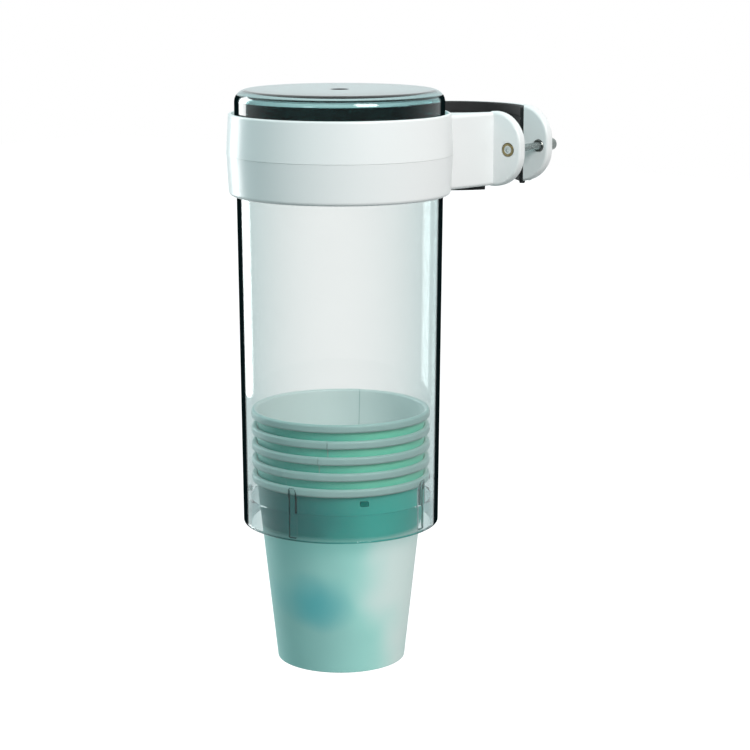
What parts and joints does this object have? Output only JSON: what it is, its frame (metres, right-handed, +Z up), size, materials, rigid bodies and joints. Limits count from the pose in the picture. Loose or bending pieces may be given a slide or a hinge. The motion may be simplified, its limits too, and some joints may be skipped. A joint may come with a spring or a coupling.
{
  "type": "cup dispenser",
  "caption": "Clear tube cup dispenser with a lid and a nested stack of paper cups, held by a ring bracket that clamps to a round post.",
  "frame": {"origin": "on the axis of the clamped post, level with the ring's parting line", "axes": "+Z up along the post, +Y from the tube's axis to the post's axis, +X towards the right-hand clamp screw"},
  "size_m": [0.091, 0.159, 0.2345],
  "materials": {
    "white_plastic": "gloss white ABS moulding",
    "black_rubber": "matt black",
    "bright_steel": "bright zinc-plated steel",
    "brass": "turned",
    "smoke_plastic": "polished smoke-clear moulding",
    "cup_paper": "coated printed paper"
  },
  "bodies": {
    "bracket": {"bracket": "white_plastic", "front_pad": "black_rubber"},
    "clamp_jaw": {"rear_jaw": "white_plastic", "rear_pad": "black_rubber", "thread_insert_right": "brass", "thread_insert_left": "brass"},
    "screw_right": {"clamp_screw_right": "bright_steel"},
    "screw_left": {"clamp_screw_left": "bright_steel"},
    "tube": {"tube": "smoke_plastic", "cup_retainer": "smoke_plastic"},
    "lid": {"lid": "smoke_plastic"},
    "cup_low": {"cup_5_wall": "cup_paper", "cup_5_base": "cup_paper"},
    "cup_stack": {"cup_1_wall": "cup_paper", "cup_1_base": "cup_paper", "cup_2_wall": "cup_paper", "cup_2_base": "cup_paper", "cup_3_wall": "cup_paper", "cup_3_base": "cup_paper", "cup_4_wall": "cup_paper", "cup_4_base": "cup_paper"}
  },
  "joints": [
    {"name": "screw_right_turn", "type": "hinge", "parent": "bracket", "child": "screw_right", "pos_m": [0.0387, 0, -0.0014], "axis": [0, 1, 0], "range_deg": [-4320, 8640]},
    {"name": "screw_left_turn", "type": "hinge", "parent": "bracket", "child": "screw_left", "pos_m": [-0.0387, 0, -0.0014], "axis": [0, 1, 0], "range_deg": [-4320, 8640]},
    {"name": "jaw_slide", "type": "slide", "parent": "bracket", "child": "clamp_jaw", "axis": [0, 1, 0], "range_m": [-0.012, 0.006]},
    {"name": "tube_lift", "type": "slide", "parent": "bracket", "child": "tube", "axis": [0, 0, 1], "range_m": [0, 0.23]},
    {"name": "lid_lift", "type": "slide", "parent": "tube", "child": "lid", "axis": [0, 0, 1], "range_m": [0, 0.06]},
    {"name": "cup_pull", "type": "slide", "parent": "tube", "child": "cup_low", "axis": [0, 0, -1], "range_m": [0, 0.09], "deforming": ["cup_retainer"]},
    {"name": "stack_drop", "type": "slide", "parent": "tube", "child": "cup_stack", "axis": [0, 0, -1], "range_m": [0, 0.00656]}
  ],
  "couplings": [
    {"joint": "screw_right_turn", "follows": "jaw_slide", "rad_per_m": -12566},
    {"joint": "screw_left_turn", "follows": "jaw_slide", "rad_per_m": -12566},
    {"joint": "stack_drop", "follows": "cup_pull", "ratio": 0.072878}
  ]
}
